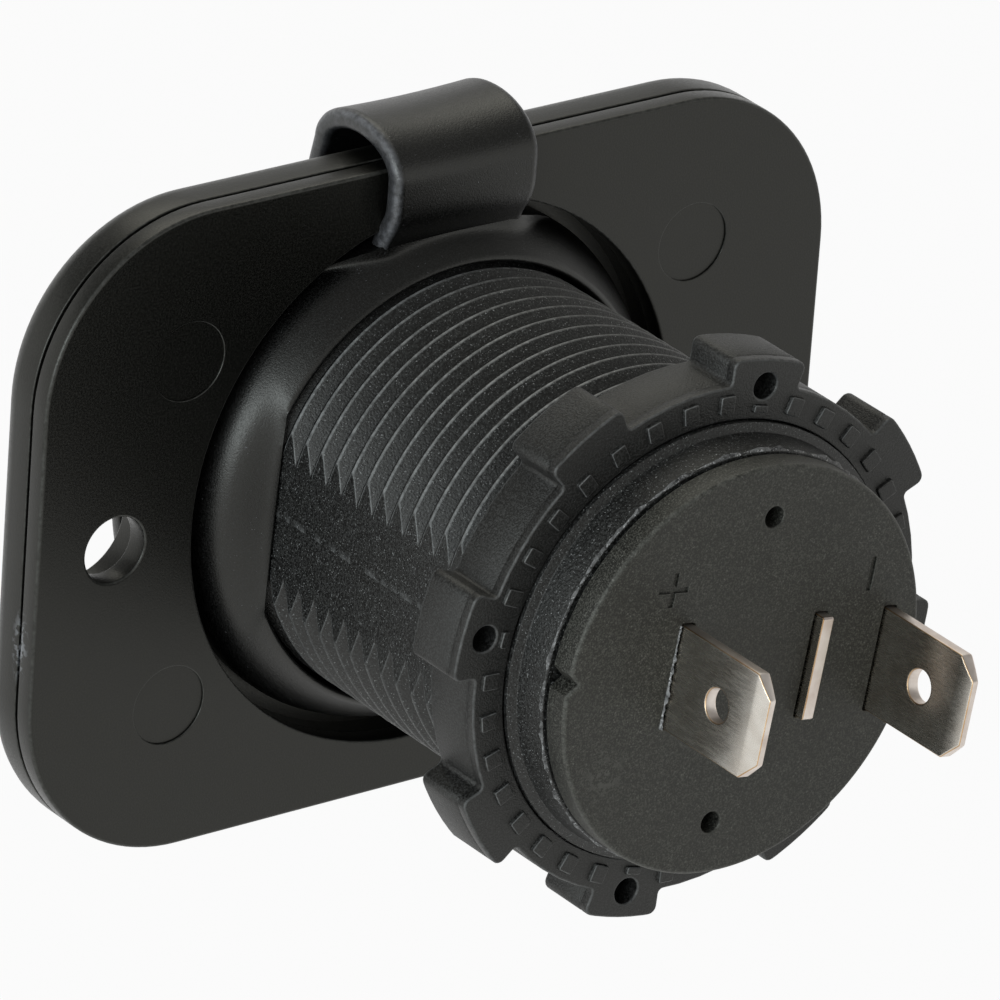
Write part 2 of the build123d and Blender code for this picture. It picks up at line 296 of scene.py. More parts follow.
# Painted highlight on the strap's side walls: the share kept away from the outer corners
strap_side_highlight = 0.22
strap_shares = (-0.88, -0.75, -0.5, -0.25, 0.0, 0.25, 0.5, 0.75, 0.88)
cap_radius = 17.6
cap_front = -8.0
cap_rear = -6.5
cap_rounding = 0.9
cap_dish_radius = 14.0
cap_dish_depth = 0.3
cap_centre = 0.02
cap_edge = 0.3
skirt_root = 0.2
skirt_edge = 0.25
skirt_radius = 11.4
skirt_wall = 1.2
skirt_end = -4.6


def polar(radius, degrees):
    """A point at an angle that runs counter-clockwise from +x."""
    angle = math.radians(degrees)
    return Vector((radius * math.cos(angle), radius * math.sin(angle)))


def clamp(value):
    """A value kept between 0 and 1."""
    return min(max(value, 0.0), 1.0)


def smooth_share(value):
    """A share from 0 to 1 that starts and ends gently."""
    value = clamp(value)
    return value * value * (3 - 2 * value)


def turned(points, degrees):
    """An outline turned counter-clockwise about the axis."""
    matrix = Matrix.Rotation(math.radians(degrees), 2)
    return [matrix @ Vector(point) for point in points]


def circle(radius, count, x=0.0, z=0.0):
    centre = Vector((x, z))
    return [centre + polar(radius, 360 * step / count) for step in range(count)]


def arc(centre, start, end, steps):
    """Points of the arc between two places that are given from its centre."""
    angle = math.atan2(start.cross(end), start.dot(end))
    return [centre + Matrix.Rotation(angle * step / steps, 2) @ start for step in range(steps + 1)]


def rounded(corners, steps=EDGE_STEPS):
    """A closed outline from (a, b, rounding) corners, with each rounding drawn as an arc."""
    points = []
    for index, (a, b, radius) in enumerate(corners):
        here = Vector((a, b))
        if radius <= 0:
            points.append(here)
            continue
        before = (Vector(corners[index - 1][:2]) - here).normalized()
        after = (Vector(corners[(index + 1) % len(corners)][:2]) - here).normalized()
        half = before.angle(after) / 2
        centre = here + (before + after).normalized() * (radius / math.sin(half))
        start = here + before * (radius / math.tan(half)) - centre
        end = here + after * (radius / math.tan(half)) - centre
        points += arc(centre, start, end, steps)
    return points


def rectangle(width, height, corner, x=0.0, z=0.0, steps=EDGE_STEPS):
    half_w = width / 2
    half_h = height / 2
    signs = ((1, -1), (1, 1), (-1, 1), (-1, -1))
    return rounded([(x + a * half_w, z + b * half_h, corner) for a, b in signs], steps)


def outward(points):
    """Mitred outward normals of a counter-clockwise outline."""
    normals = []
    for index, here in enumerate(points):
        into = (here - points[index - 1]).normalized()
        out = (points[(index + 1) % len(points)] - here).normalized()
        first = Vector((into.y, -into.x))
        second = Vector((out.y, -out.x))
        normals.append((first + second) / (1 + first.dot(second)))
    return normals


def rim(face, inward, width, steps=EDGE_STEPS):
    """Stations (inset, depth, paleness) of a rounded edge, from a face to the wall beside it; the paleness
    is partly wear and partly painted highlight.
    """
    stations = [(width + SUPPORT, face, 0.0)]
    for step in range(steps + 1):
        angle = step / steps * math.pi / 2
        inset = width * (1 - math.sin(angle))
        depth = face + inward * width * (1 - math.cos(angle))
        stations.append((inset, depth, math.sin(2 * angle)))
    return stations


def wall(front, back, front_edge, back_edge):
    """Stations of a whole wall between two rounded edges."""
    return rim(front, 1, front_edge) + rim(back, -1, back_edge)[::-1]


def flipped(stations, shift=0.0):
    """A hole's stations, from those of an outside wall."""
    return [(shift - inset, depth, wear_and_shading) for inset, depth, wear_and_shading in stations]


def new_form():
    form = bmesh.new()
    form.verts.layers.float.new("wear_and_shading")
    return form


def add_corner(form, place, wear_and_shading):
    """A corner with its wear: above 0 a paler edge, partly painted highlight; below 0 a groove's painted
    shade.
    """
    corner = form.verts.new(place)
    corner[form.verts.layers.float["wear_and_shading"]] = wear_and_shading
    return corner


def soften(form, share):
    """Leaves a form only a share of its paleness, from wear and painted highlight, and of its painted shade.
    """
    layer = form.verts.layers.float["wear_and_shading"]
    for corner in form.verts:
        corner[layer] *= share


def ring_of(form, points, depth, wear_and_shading=0.0):
    """A closed ring of corners at one depth."""
    return [add_corner(form, (point.x, depth, point.y), wear_and_shading) for point in points]


def bands(form, rings):
    """Faces between each closed ring and the next, which has as many corners."""
    for near, far in zip(rings, rings[1:]):
        for index in range(len(near)):
            form.faces.new((near[index - 1], near[index], far[index], far[index - 1]))


def sweep(form, points, stations):
    """A closed outline carried through its stations. It returns the first and the last ring."""
    normals = outward(points)
    rings = []
    for inset, depth, wear_and_shading in stations:
        moved = [point - normal * inset for point, normal in zip(points, normals)]
        rings.append(ring_of(form, moved, depth, wear_and_shading))
    bands(form, rings)
    return rings[0], rings[-1]


def cover(form, rings):
    """A flat face with the first ring as its border and the others as its holes."""
    edges = []
    for ring in rings:
        for near, far in zip(ring, ring[1:] + ring[:1]):
            edges.append(form.edges.get((near, far)) or form.edges.new((near, far)))
    bmesh.ops.triangle_fill(form, edges=edges, use_beauty=True, normal=(0, 1, 0))


def slab(form, loops, marks=()):
    """A closed plate from (outline, stations) loops, the border first, with marks on its back."""
    fronts = []
    backs = []
    for points, stations in loops:
        front, back = sweep(form, points, stations)
        fronts.append(front)
        backs.append(back)
    for points, stations in marks:
        floor, mouth = sweep(form, points, stations)
        cover(form, [floor])
        backs.append(mouth)
    cover(form, fronts)
    cover(form, backs)


def lathe(form, profile, count, closed=True):
    """A surface of revolution about the Y axis from (radius, y) points."""
    rings = [ring_of(form, circle(radius, count), y) for radius, y in profile]
    bands(form, rings + rings[:1] if closed else rings)
    return rings


def mesh_of(name, form):
    """A mesh in metres from a form in millimetres, which is used up."""
    bmesh.ops.recalc_face_normals(form, faces=form.faces)
    mesh = bpy.data.meshes.new(name)
    form.to_mesh(mesh)
    form.free()
    mesh.transform(Matrix.Scale(MM, 4))
    return mesh


def add_object(name, data):
    thing = bpy.data.objects.new(name, data)
    bpy.context.scene.collection.objects.link(thing)
    return thing


def add_piece(name, form, materials, nodes=(), sharp=50.0):
    """Makes a shown piece from a form, with smooth shading up to a sharp angle."""
    bmesh.ops.dissolve_degenerate(form, dist=1e-3, edges=form.edges)
    mesh = mesh_of(name, form)
    for face in mesh.polygons:
        face.use_smooth = True
    mesh.set_sharp_from_angle(angle=math.radians(sharp))
    piece = add_object(name, mesh)
    for material in materials:
        mesh.materials.append(material)
    if nodes:
        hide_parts(*nodes)
    return piece


class Nodes:
    """A short way to wire a material's node tree."""

    def __init__(self, name, inputs):
        """A material with constants on its shader's inputs."""
        self.material = bpy.data.materials.new(name)
        self.material.use_nodes = True
        self.tree = self.material.node_tree
        self.shader = self.tree.nodes["Principled BSDF"]
        self.feed(self.shader, inputs)
        self.coordinates = self.add("ShaderNodeTexCoord", {}).outputs["Object"]

    def feed(self, node, inputs):
        """Gives inputs of a node constants, or links them to other nodes' outputs."""
        for key, value in inputs.items():
            if isinstance(value, bpy.types.NodeSocket):
                self.tree.links.new(value, node.inputs[key])
            else:
                node.inputs[key].default_value = value

    def add(self, kind, inputs, **settings):
        node = self.tree.nodes.new(kind)
        for key, value in settings.items():
            setattr(node, key, value)
        self.feed(node, inputs)
        return node

    def stretched(self, scale):
        mapping = self.add("ShaderNodeMapping", {"Scale": scale, "Vector": self.coordinates})
        return mapping.outputs["Vector"]

    def noise(self, size, detail, stretch=None):
        """Noise with features of about the given size in millimetres."""
        source = self.stretched(stretch) if stretch else self.coordinates
        inputs = {"Scale": 1 / (size * MM), "Detail": detail, "Vector": source}
        return self.add("ShaderNodeTexNoise", inputs).outputs["Fac"]

    def remap(self, value, low, high, to_low=0.0, to_high=1.0):
        inputs = {"Value": value, "From Min": low, "From Max": high, "To Min": to_low, "To Max": to_high}
        return self.add("ShaderNodeMapRange", inputs).outputs["Result"]

    def calculate(self, operation, first, second):
        return self.add("ShaderNodeMath", {0: first, 1: second}, operation=operation).outputs["Value"]

    def multiply(self, first, second):
        return self.calculate("MULTIPLY", first, second)

    def mix(self, factor, first, second):
        """Colour mix; first and second are colours or outputs, for the node's colour inputs 6 and 7."""
        inputs = {"Factor": factor}
        for key, value in ((6, first), (7, second)):
            inputs[key] = (*value, 1.0) if isinstance(value, tuple) else value
        return self.add("ShaderNodeMix", inputs, data_type="RGBA").outputs[2]

    def bump(self, height, strength, depth):
        inputs = {"Height": height, "Strength": strength, "Distance": depth * MM}
        return self.add("ShaderNodeBump", inputs).outputs["Normal"]

    def near(self, place, radius):
        """A share that falls from 1 at a place to 0 at a radius, in millimetres, and faster along y."""
        x, y, z = place
        middle = (x * MM, scuff_squash * y * MM, z * MM)
        inputs = {0: self.stretched((1.0, scuff_squash, 1.0)), 1: middle}
        distance = self.add("ShaderNodeVectorMath", inputs, operation="DISTANCE").outputs["Value"]
        return self.remap(distance, 0.0, radius * MM, 1.0, 0.0)


# How noise becomes colour: sizes in millimetres, and the limits of each ramp
mottle_size = 2.5
mottle_least = 0.7
patch_size = 0.35
scratch_size = 0.4
stain_size = 1.6
wide_ramp = (0.3, 0.7)
patch_ramp = (0.35, 0.65)
grain_ramp = (0.45, 0.6)
scratch_ramp = (0.5, 0.58)
speck_low = 1.0
speck_high = 1.12
scuff_squash = 3.0
roughness_swing = 0.07
streak_stretch = (1.0, 0.08, 1.0)
streak_low = 0.04
streak_high = 0.05
streak_bump = 0.08
streak_depth = 0.003
painted_groove_shade = (0.002, 0.002, 0.002)
black = (0.001, 0.001, 0.001)
white = (1.0, 1.0, 1.0)

# Pale scuffs: place, radius and colour
plate_scuff = ((27.8, -1.3, -5.4), 2.6, (0.3, 0.31, 0.32))
disc_scuff = ((9.4, disc_rear, -4.5), 2.0, (0.1, 0.1, 0.088))


def moulded(name, dark, light, pale_tone, roughness, grain, depth, speck, edges, tint=white, scuff=None):
    """Moulded plastic or rubber: mottled and grained colour, bright specks, painted shade in grooves, and
    paler edges from wear and painted highlight.

    A speck is (size, share), and edges are the least and the most of the paleness on an edge.
    """
    nodes = Nodes(name, {"Specular Tint": (*tint, 1.0)})
    fine = nodes.noise(grain, detail=2.0)
    mottle = nodes.remap(nodes.noise(mottle_size, detail=5.0), *wide_ramp, mottle_least, 1.0)
    colour = nodes.mix(nodes.multiply(nodes.remap(fine, *grain_ramp), mottle), dark, light)
    size, share = speck
    specks = nodes.remap(nodes.noise(size, detail=1.0), speck_low - share, speck_high - share)
    colour = nodes.mix(specks, colour, pale_tone)
    patches = nodes.remap(nodes.noise(patch_size, detail=4.0), *patch_ramp, *edges)
    wear_and_shading = nodes.add("ShaderNodeAttribute", {}, attribute_name="wear_and_shading").outputs["Fac"]
    # Below 0 the attribute paints shade into grooves; above 0 it makes edges paler, as wear and as a painted
    # highlight.
    colour = nodes.mix(nodes.remap(wear_and_shading, 0.0, -1.0), colour, painted_groove_shade)
    colour = nodes.mix(nodes.multiply(nodes.remap(wear_and_shading, 0.0, 1.0), patches), colour, pale_tone)
    if scuff:
        place, radius, pale = scuff
        scratches = nodes.remap(nodes.noise(scratch_size, detail=4.0), *scratch_ramp)
        colour = nodes.mix(nodes.multiply(nodes.near(place, radius), scratches), colour, pale)
    gloss = nodes.remap(fine, *wide_ramp, roughness - roughness_swing, roughness + roughness_swing)
    normal = nodes.bump(fine, strength=1.0, depth=depth)
    nodes.feed(nodes.shader, {"Base Color": colour, "Roughness": gloss, "Normal": normal})
    return nodes.material


def plated(name, dark, light, roughness, streak):
    """Plated sheet metal with rolling streaks along the blade."""
    nodes = Nodes(name, {"Metallic": 1.0})
    stained = nodes.remap(nodes.noise(stain_size, detail=5.0), *patch_ramp)
    colour = nodes.mix(stained, dark, light)
    brushed = nodes.noise(streak, detail=4.0, stretch=streak_stretch)
    gloss = nodes.remap(brushed, *wide_ramp, roughness - streak_low, roughness + streak_high)
    normal = nodes.bump(brushed, streak_bump, streak_depth)
    nodes.feed(nodes.shader, {"Base Color": colour, "Roughness": gloss, "Normal": normal})
    return nodes.material


plate_plastic = moulded(
    "plate_plastic", dark=(0.002, 0.002, 0.0016), light=(0.01, 0.01, 0.0085), pale_tone=(0.09, 0.09, 0.083),
    roughness=0.36, grain=0.12, depth=0.008, speck=(0.1, 0.24), edges=(0.2, 0.7), tint=(0.8, 0.8, 0.72),
    scuff=plate_scuff,
)
body_plastic = moulded(
    "body_plastic", dark=black, light=(0.03, 0.0308, 0.029), pale_tone=(0.32, 0.325, 0.315),
    roughness=0.5, grain=0.14, depth=0.045, speck=(0.1, 0.35), edges=(0.4, 1.0), tint=(1.0, 1.0, 0.95),
)
nut_plastic = moulded(
    "nut_plastic", dark=black, light=(0.032, 0.0325, 0.031), pale_tone=(0.28, 0.284, 0.276),
    roughness=0.5, grain=0.12, depth=0.04, speck=(0.09, 0.25), edges=(0.4, 1.0), tint=(1.0, 1.0, 0.94),
)
disc_plastic = moulded(
    "disc_plastic", dark=(0.003, 0.003, 0.0025), light=(0.076, 0.076, 0.065), pale_tone=(0.21, 0.21, 0.185),
    roughness=0.54, grain=0.1, depth=0.03, speck=(0.1, 0.32), edges=(0.1, 1.0), tint=(1.0, 1.0, 0.9),
    scuff=disc_scuff,
)
torn_plastic = moulded(
    "torn_plastic", dark=(0.004, 0.004, 0.004), light=(0.1, 0.1, 0.095), pale_tone=(0.62, 0.62, 0.6),
    roughness=0.5, grain=0.12, depth=0.04, speck=(0.14, 0.4), edges=(0.0, 0.5),
)
strap_rubber = moulded(
    "strap_rubber", dark=black, light=(0.01, 0.01, 0.0098), pale_tone=(0.3, 0.305, 0.32),
    roughness=0.37, grain=0.1, depth=0.014, speck=(0.11, 0.25), edges=(0.3, 0.8), tint=(1.0, 1.0, 0.93),
)
washer_fibre = moulded(
    "washer_fibre", dark=(0.14, 0.06, 0.03), light=(0.25, 0.115, 0.06), pale_tone=(0.34, 0.2, 0.12),
    roughness=0.7, grain=0.1, depth=0.015, speck=(0.1, 0.22), edges=(0.1, 0.8),
)
blade_metal = plated("blade_metal", (0.58, 0.54, 0.48), (0.7, 0.67, 0.61), roughness=0.26, streak=0.1)
blade_shear = plated("blade_shear", (0.6, 0.52, 0.46), (0.78, 0.72, 0.66), roughness=0.42, streak=0.14)
blade_brass = plated("blade_brass", (0.42, 0.26, 0.13), (0.58, 0.42, 0.26), roughness=0.36, streak=0.12)
shell_metal = plated("shell_metal", (0.55, 0.53, 0.5), (0.68, 0.66, 0.62), roughness=0.24, streak=0.2)
contact_brass = plated("contact_brass", (0.62, 0.42, 0.16), (0.74, 0.54, 0.24), roughness=0.28, streak=0.16)


def screw_places(radius):
    """A circle round each of the two screws."""
    return [circle(radius, screw_steps, side * screw_x) for side in (-1, 1)]


def make_front_plate():
    form = new_form()
    border = rectangle(plate_width, plate_height, plate_corner, steps=plate_corner_steps)
    stations = rim(front_face, 1, front_rounding, front_rounding_steps)
    stations += rim(layer_face, -1, shadow_edge)[::-1]
    step = plate_hole_radius - recess_radius
    hole = flipped(rim(front_face, 1, hole_edge))
    hole += [(0.0, recess_floor, 0.0), (step, recess_floor, 0.0), (step, layer_face, 0.0)]
    loops = [(border, stations), (circle(plate_hole_radius, barrel_steps), hole)]
    for place in screw_places(screw_head_radius):
        loops.append((place, flipped(wall(front_face, layer_face, hole_edge, shadow_edge))))
    slab(form, loops)
    return add_piece("plate_front", form, [plate_plastic], ["front_plate"])


def make_back_plate():
    form = new_form()
    border = rectangle(plate_width, plate_height, plate_corner, steps=plate_corner_steps)
    stations = [(shadow_inset, layer_face, 0.0), (shadow_inset, shadow_top, 0.0)]
    stations += rim(shadow_top, 1, shadow_edge)[1:] + rim(0, -1, plate_edge)[::-1]
    loops = [(border, stations)]
    for hole in [circle(recess_radius, recess_steps)] + screw_places(screw_hole_radius):
        loops.append((hole, flipped(wall(layer_face, 0, shadow_edge, hole_edge))))
    marks = []
    mark_stations = [(0.0, -pin_mark_depth, 0.0)] + flipped(rim(0, -1, pin_mark_depth / 2)[::-1])
    for x in (-pin_mark_x, pin_mark_x):
        for z in (-pin_mark_z, pin_mark_z):
            marks.append((circle(pin_mark_radius, pin_mark_steps, x, z), mark_stations))
    slab(form, loops, marks)
    return add_piece("plate_back", form, [plate_plastic], ["back_plate"])


# Angles from the middle of a flat, and steps between columns of the thread, in degrees
flat_edge_start = 12
flat_edge_end = 26
flat_limit = 60
middle_half = 1
middle_step = 0.25
flat_edge_step = 0.5
plain_step = 2.0

# One pitch of the thread, in shares of the pitch and of the depth
crest_half = 0.09
crest_shoulder = 0.045
shoulder_height = 0.975
flank_top = 0.88
foot_half = 0.44
foot_height = 0.05
line_width = 0.04
cut_margin = 0.01
line_margin = 0.02
root_share = 0.47
land_depth = 0.15
fade_depth = 0.12

# Thread paleness: crests paler from wear and painted light, strongest above and on the +x side, painted
# shade in the root, with dashes along the flats
shoulder_paleness = 0.7
root_shade = -0.6
light_below = 0.3
light_above_far_side = 0.2
upper_middle = 0.5
upper_swing = 0.8
outer_middle = 0.3
outer_swing = 0.9
dash_wear = 0.35
dash_grain = 0.5
dash_level = 0.35


def off_flat_angle(angle):
    """The angle from the middle of the nearer flat, in degrees."""
    return abs((angle + 90) % 180 - 90)


def thread_columns():
    """Angles round the barrel, in degrees, close together at the edges of the flats."""
    angles = []
    angle = 0.0
    while angle < 360.0:
        angles.append(angle)
        off_flat = off_flat_angle(angle)
        if flat_edge_start < off_flat < flat_edge_end:
            angle += flat_edge_step
        elif off_flat < middle_half:
            angle += middle_step
        else:
            angle += plain_step
    return angles


def thread_height(share):
    """The thread's height at a distance from its crest."""
    share = abs(share)
    stations = [(0.0, 1.0), (crest_shoulder, shoulder_height), (crest_half, flank_top)]
    stations += [(foot_half, foot_height), (0.5, 0.0)]
    for (near, high), (far, low) in zip(stations, stations[1:]):
        if share <= far:
            return high + (low - high) * (share - near) / (far - near)
    return 0.0


def thread_row(angle):
    """Half of the thread's section at an angle, as (share, height, wear and painted shading), cut down by
    the flat.
    """
    off_flat = off_flat_angle(angle)
    level = 1.0
    if off_flat < flat_limit:
        flat_radius = flat_distance / math.cos(math.radians(off_flat))
        level = clamp((flat_radius - root_radius) / (thread_radius - root_radius))
    edge = crest_half
    if level < flank_top:
        edge += (flank_top - level) / (flank_top - foot_height) * (foot_half - crest_half)
        edge = min(edge, foot_half - cut_margin)
    land = clamp((1.0 - level) / land_depth)
    fade = min(level / fade_depth, 1.0)
    outer = min(edge + line_width, foot_half + line_margin)
    shares = (0.0, max(edge - line_width, edge / 2), edge, outer, root_share)
    # Painted light: the crests are palest above and on the +x side, which faces the left lamp, and dim
    # below.
    upper = smooth_share(upper_middle - upper_swing * math.sin(math.radians(angle)))
    outer_side = smooth_share(outer_middle + outer_swing * math.cos(math.radians(angle)))
    painted_light = light_below + (1 - light_below) * upper * (light_above_far_side + (1 - light_above_far_side) * outer_side)
    crest = painted_light * (1.0 - land)
    wear_and_shadings = (crest, shoulder_paleness * crest, painted_light * land * fade, 0.0, root_shade * fade)
    return [(share, min(thread_height(share), level), wear_and_shading) for share, wear_and_shading in zip(shares, wear_and_shadings)]


def barrel_point(angle, y, height):
    """A point of the threaded barrel at an angle from the first flat, cut by the flats."""
    radius = root_radius
    if y > thread_start:
        radius += height * (thread_radius - root_radius)
    direction = math.radians(angle)
    x = radius * math.cos(direction)
    z = radius * math.sin(direction)
    if y > flat_start and abs(x) > flat_distance:
        z *= flat_distance / abs(x)
        x = math.copysign(flat_distance, x)
    point = turned([(x, z)], body_turn)[0]
    return Vector((point.x, y, point.y))


def open_edges(form, y, tolerance=1e-4):
    """Border edges that lie at one depth."""
    return [
        edge for edge in form.edges
        if edge.is_boundary and all(abs(corner.co.y - y) < tolerance for corner in edge.verts)
    ]


# Torn edges: the middle and the swing of their noise, and its finer part
tear_middle = 0.35
tear_swing = 0.9
fine_tear_share = 0.5
fine_tear_size = 0.4


def ragged(place, size):
    """A ragged share from 0 to 1 at a place, with features of the given size."""
    value = noise.noise(Vector(place) / size)
    value += fine_tear_share * noise.noise(Vector(place) / (fine_tear_size * size))
    return clamp(tear_middle + tear_swing * value)


def mark_torn(form, old):
    """Gives the faces that are new to a form its second material."""
    for face in form.faces:
        if face not in old:
            face.material_index = 1


def add_flash(form):
    """A ragged fin of moulding flash round the barrel's rear edge."""
    old = set(form.faces)
    base = rear_end_radius - flash_root
    rings = []
    for share, back, wear_and_shading in flash_rows:
        ring = []
        for way in circle(1.0, flash_steps):
            tear = ragged((flash_stretch * way.x, flash_stretch * way.y, 0), flash_grain)
            radius = base + share * (flash_least + flash_height * tear)
            ring.append(add_corner(form, (radius * way.x, body_end - back, radius * way.y), wear_and_shading))
        rings.append(ring)
    bands(form, rings + rings[:1])
    mark_torn(form, old)


def make_barrel():
    form = new_form()
    columns = thread_columns()
    first_turn = math.floor((front_face - thread_phase) / thread_pitch) - 1
    last_turn = math.ceil((thread_end - thread_phase) / thread_pitch) + 1
    rows = []
    for number in range(first_turn, last_turn + 1):
        for angle in columns:
            crest = thread_phase + thread_pitch * (number + angle / 360)
            half = thread_row(angle)
            section = [(-share, height, wear_and_shading) for share, height, wear_and_shading in half[:0:-1]] + half
            row = []
            for share, height, wear_and_shading in section:
                y = crest + share * thread_pitch
                if angle % 180 == 0 and ragged((y, angle, 0), dash_grain) > dash_level:
                    wear_and_shading = dash_wear
                row.append(add_corner(form, barrel_point(-angle, y, height), wear_and_shading))
            rows.append(row)
    count = len(columns)
    for index in range(len(rows) - count - 1):
        here = rows[index] + rows[index + count][:1]
        there = rows[index + 1] + rows[index + count + 1][:1]
        for near, far in zip(zip(here, here[1:]), zip(there, there[1:])):
            form.faces.new((near[0], far[0], far[1], near[1]))
    for depth, side in ((front_face, -1), (end_rim_front, 1)):
        geometry = form.verts[:] + form.edges[:] + form.faces[:]
        bmesh.ops.bisect_plane(
            form, geom=geometry, plane_co=(0, depth, 0), plane_no=(0, side, 0), clear_outer=True
        )
    loose = [corner for corner in form.verts if not corner.link_faces]
    bmesh.ops.delete(form, geom=loose, context="VERTS")
    ends = [open_edges(form, depth) for depth in (front_face, end_rim_front)]
    corners = [
        (root_radius + barrel_shoulder, front_face, 0),
        (flange_radius, front_face, body_edge),
        (flange_radius, flange_face, flange_rounding),
        (mouth_radius, flange_face, body_edge),
        (mouth_radius, mouth_floor, 0),
        (shell_radius, mouth_floor, 0),
        (shell_radius, body_end, body_edge),
        (rear_end_radius, body_end, body_edge),
        (rear_start_radius, end_rim_rear + end_rim_slope, rear_start_rounding),
        (end_rim_radius, end_rim_rear, end_rim_rounding),
        (end_rim_radius, end_rim_front, 0),
    ]
    rings = lathe(form, rounded(corners, body_edge_steps), barrel_steps, closed=False)
    for edges, ring in zip(ends, (rings[0], rings[-1])):
        circle_edges = [form.edges.get((ring[index - 1], ring[index])) for index in range(len(ring))]
        bmesh.ops.bridge_loops(form, edges=edges + circle_edges)
    add_flash(form)
    plastics = [body_plastic, torn_plastic]
    return add_piece("threaded_barrel", form, plastics, ["socket_body"], barrel_sharp_angle)


def nut_outline():
    """The nut seen from behind: a ring with lugs, every other one holed."""
    corners = []
    step = 360 / lug_count
    halves = (holed_lug_angle / 2, plain_lug_angle / 2)
    gap = step - sum(halves)
    for number in range(lug_count):
        middle = 90 + number * step
        half = halves[number % 2]
        corners.append((*polar(nut_radius, middle - half), lug_root_rounding))
        corners.append((*polar(lug_radius, middle - half), lug_rounding))
        for share in lug_arc_shares:
            corners.append((*polar(lug_radius, middle + share * half), 0))
        corners.append((*polar(lug_radius, middle + half), lug_rounding))
        corners.append((*polar(nut_radius, middle + half), lug_root_rounding))
        for share in gap_arc_shares:
            corners.append((*polar(nut_radius, middle + half + share * gap), 0))
    return rounded(corners)


def make_nut():
    form = new_form()
    parting = nut_rear - parting_offset
    sides = rim(nut_front, 1, nut_front_edge)
    sides += [(0.0, parting - parting_half, 0.0), (parting_depth, parting - parting_floor_half, 0.0)]
    sides += [(parting_depth, parting + parting_floor_half, 0.0), (0.0, parting + parting_half, 0.0)]
    sides += rim(nut_rear, -1, nut_rear_edge)[::-1]
    loops = [(turned(nut_outline(), nut_turn), sides)]
    bore = flipped(rim(nut_front, 1, nut_bore_edge))
    bore += [(0.0, nut_rear - bore_lip_width - bore_lip, 0.0), (bore_lip, nut_rear - bore_lip_width, 0.0)]
    bore += flipped(rim(nut_rear, -1, bore_lip_edge)[::-1], bore_lip)
    loops.append((circle(nut_bore_radius, barrel_steps), bore))
    quarter = 360 / lug_hole_count
    for number in range(lug_hole_count):
        place = polar(lug_hole_offset, 90 + nut_turn + number * quarter)
        hole = circle(lug_hole_radius, lug_hole_steps, *place)
        loops.append((hole, flipped(wall(nut_front, nut_rear, hole_edge, hole_edge))))
    teeth = []
    # The teeth's rims get a stronger paleness, a painted highlight round each tooth.
    top = rim(nut_rear + tooth_height, -1, tooth_edge, tooth_edge_steps)
    stations = [(inset, depth, tooth_rim_highlight * wear_and_shading) for inset, depth, wear_and_shading in top]
    stations.append((-SUPPORT, nut_rear, 0.0))
    for number in range(tooth_count):
        angle = number * 360 / tooth_count
        outline = rectangle(tooth_width, tooth_length, tooth_corner, 0, tooth_offset)
        if angle % quarter == 0:
            outline = rectangle(tooth_width, short_tooth_length, tooth_corner, 0, short_tooth_offset)
        teeth.append((turned(outline, nut_turn + angle), stations))
    slab(form, loops, teeth)
    soften(form, nut_wear_and_highlight)
    return add_piece("ring_nut", form, [nut_plastic], ["retaining_nut"])


def disc_outline():
    """The disc's border with its V notch at +x."""
    half = math.degrees(math.asin(notch_width / 2 / disc_radius))
    around = 360 - 2 * half
    points = [polar(disc_radius, half + around * step / disc_steps) for step in range(disc_steps + 1)]
    return points + [Vector((disc_radius - notch_depth, 0.0))]


def add_burr(form):
    """A ragged burr along the outer edge of the positive blade's slot."""
    old = set(form.faces)
    side = positive_side + blade_thickness / 2 + slot_clearance
    rows = []
    for step in range(burr_steps + 1):
        z = blade_width * (step / burr_steps - 0.5)
        height = burr_height * (burr_least + ragged((z, 0, burr_seed), burr_grain))
        row = []
        for x, y in ((side, -burr_root), (side + burr_lean, height), (side + burr_width, -burr_root)):
            point = turned([(x, z)], terminal_turn)[0]
            row.append(add_corner(form, (point.x, disc_rear + y, point.y), wear_and_shading=1.0))
        rows.append(row)
    bands(form, rows)
    form.faces.new(rows[0])
    form.faces.new(rows[-1])
    mark_torn(form, old)


def make_disc():
    form = new_form()
    stations = [(neck_inset, body_end, 0.0), (neck_inset, disc_front, 0.0)]
    stations += rim(disc_front, 1, disc_front_edge)[1:] + rim(disc_rear, -1, disc_bevel)[::-1]
    loops = [(turned(disc_outline(), terminal_turn), stations)]
    marks = []

    def recess(outline, depth, edge):
        stations = [(0.0, disc_rear - depth, 0.0)] + flipped(rim(disc_rear, -1, edge)[::-1])
        marks.append((turned(outline, terminal_turn), stations))

    slot_width = blade_thickness + 2 * slot_clearance
    slot_length = blade_width + 2 * slot_clearance
    for side in (positive_side, stub_side, negative_side):
        recess(rectangle(slot_width, slot_length, slot_corner, side), disc_rear - disc_front, slot_edge)
    for level in (-1, 1):
        hole = circle(disc_hole_radius, hole_steps, 0, level * disc_hole_offset)
        recess(hole, disc_hole_depth, disc_hole_edge)
    half_stroke = sign_stroke / 2
    half_sign = sign_length / 2
    minus = rectangle(sign_stroke, sign_length, sign_corner, minus_side, sign_height)
    recess(minus, sign_depth, sign_edge)
    arms = [(half_sign, -half_stroke), (half_sign, half_stroke), (half_stroke, half_stroke)]
    cross = []
    for quarter in range(4):
        cross += turned(arms, 90 * quarter)
    recess([Vector((plus_side, sign_height)) + corner for corner in cross], sign_depth, sign_edge)
    slab(form, loops, marks)
    spigot = [(spigot_centre, positive_foot_rear), (spigot_radius, positive_foot_rear)]
    spigot += [(spigot_radius, body_end), (spigot_centre, body_end)]
    lathe(form, spigot, spigot_steps)
    soften(form, disc_wear_and_highlight)
    add_burr(form)
    return add_piece("rear_cover", form, [disc_plastic, torn_plastic], ["rear_disc"])


# The blades are drawn with their thickness along x, and then turned about the axis
terminal_frame = Matrix.Rotation(math.radians(-terminal_turn), 4, "Y")


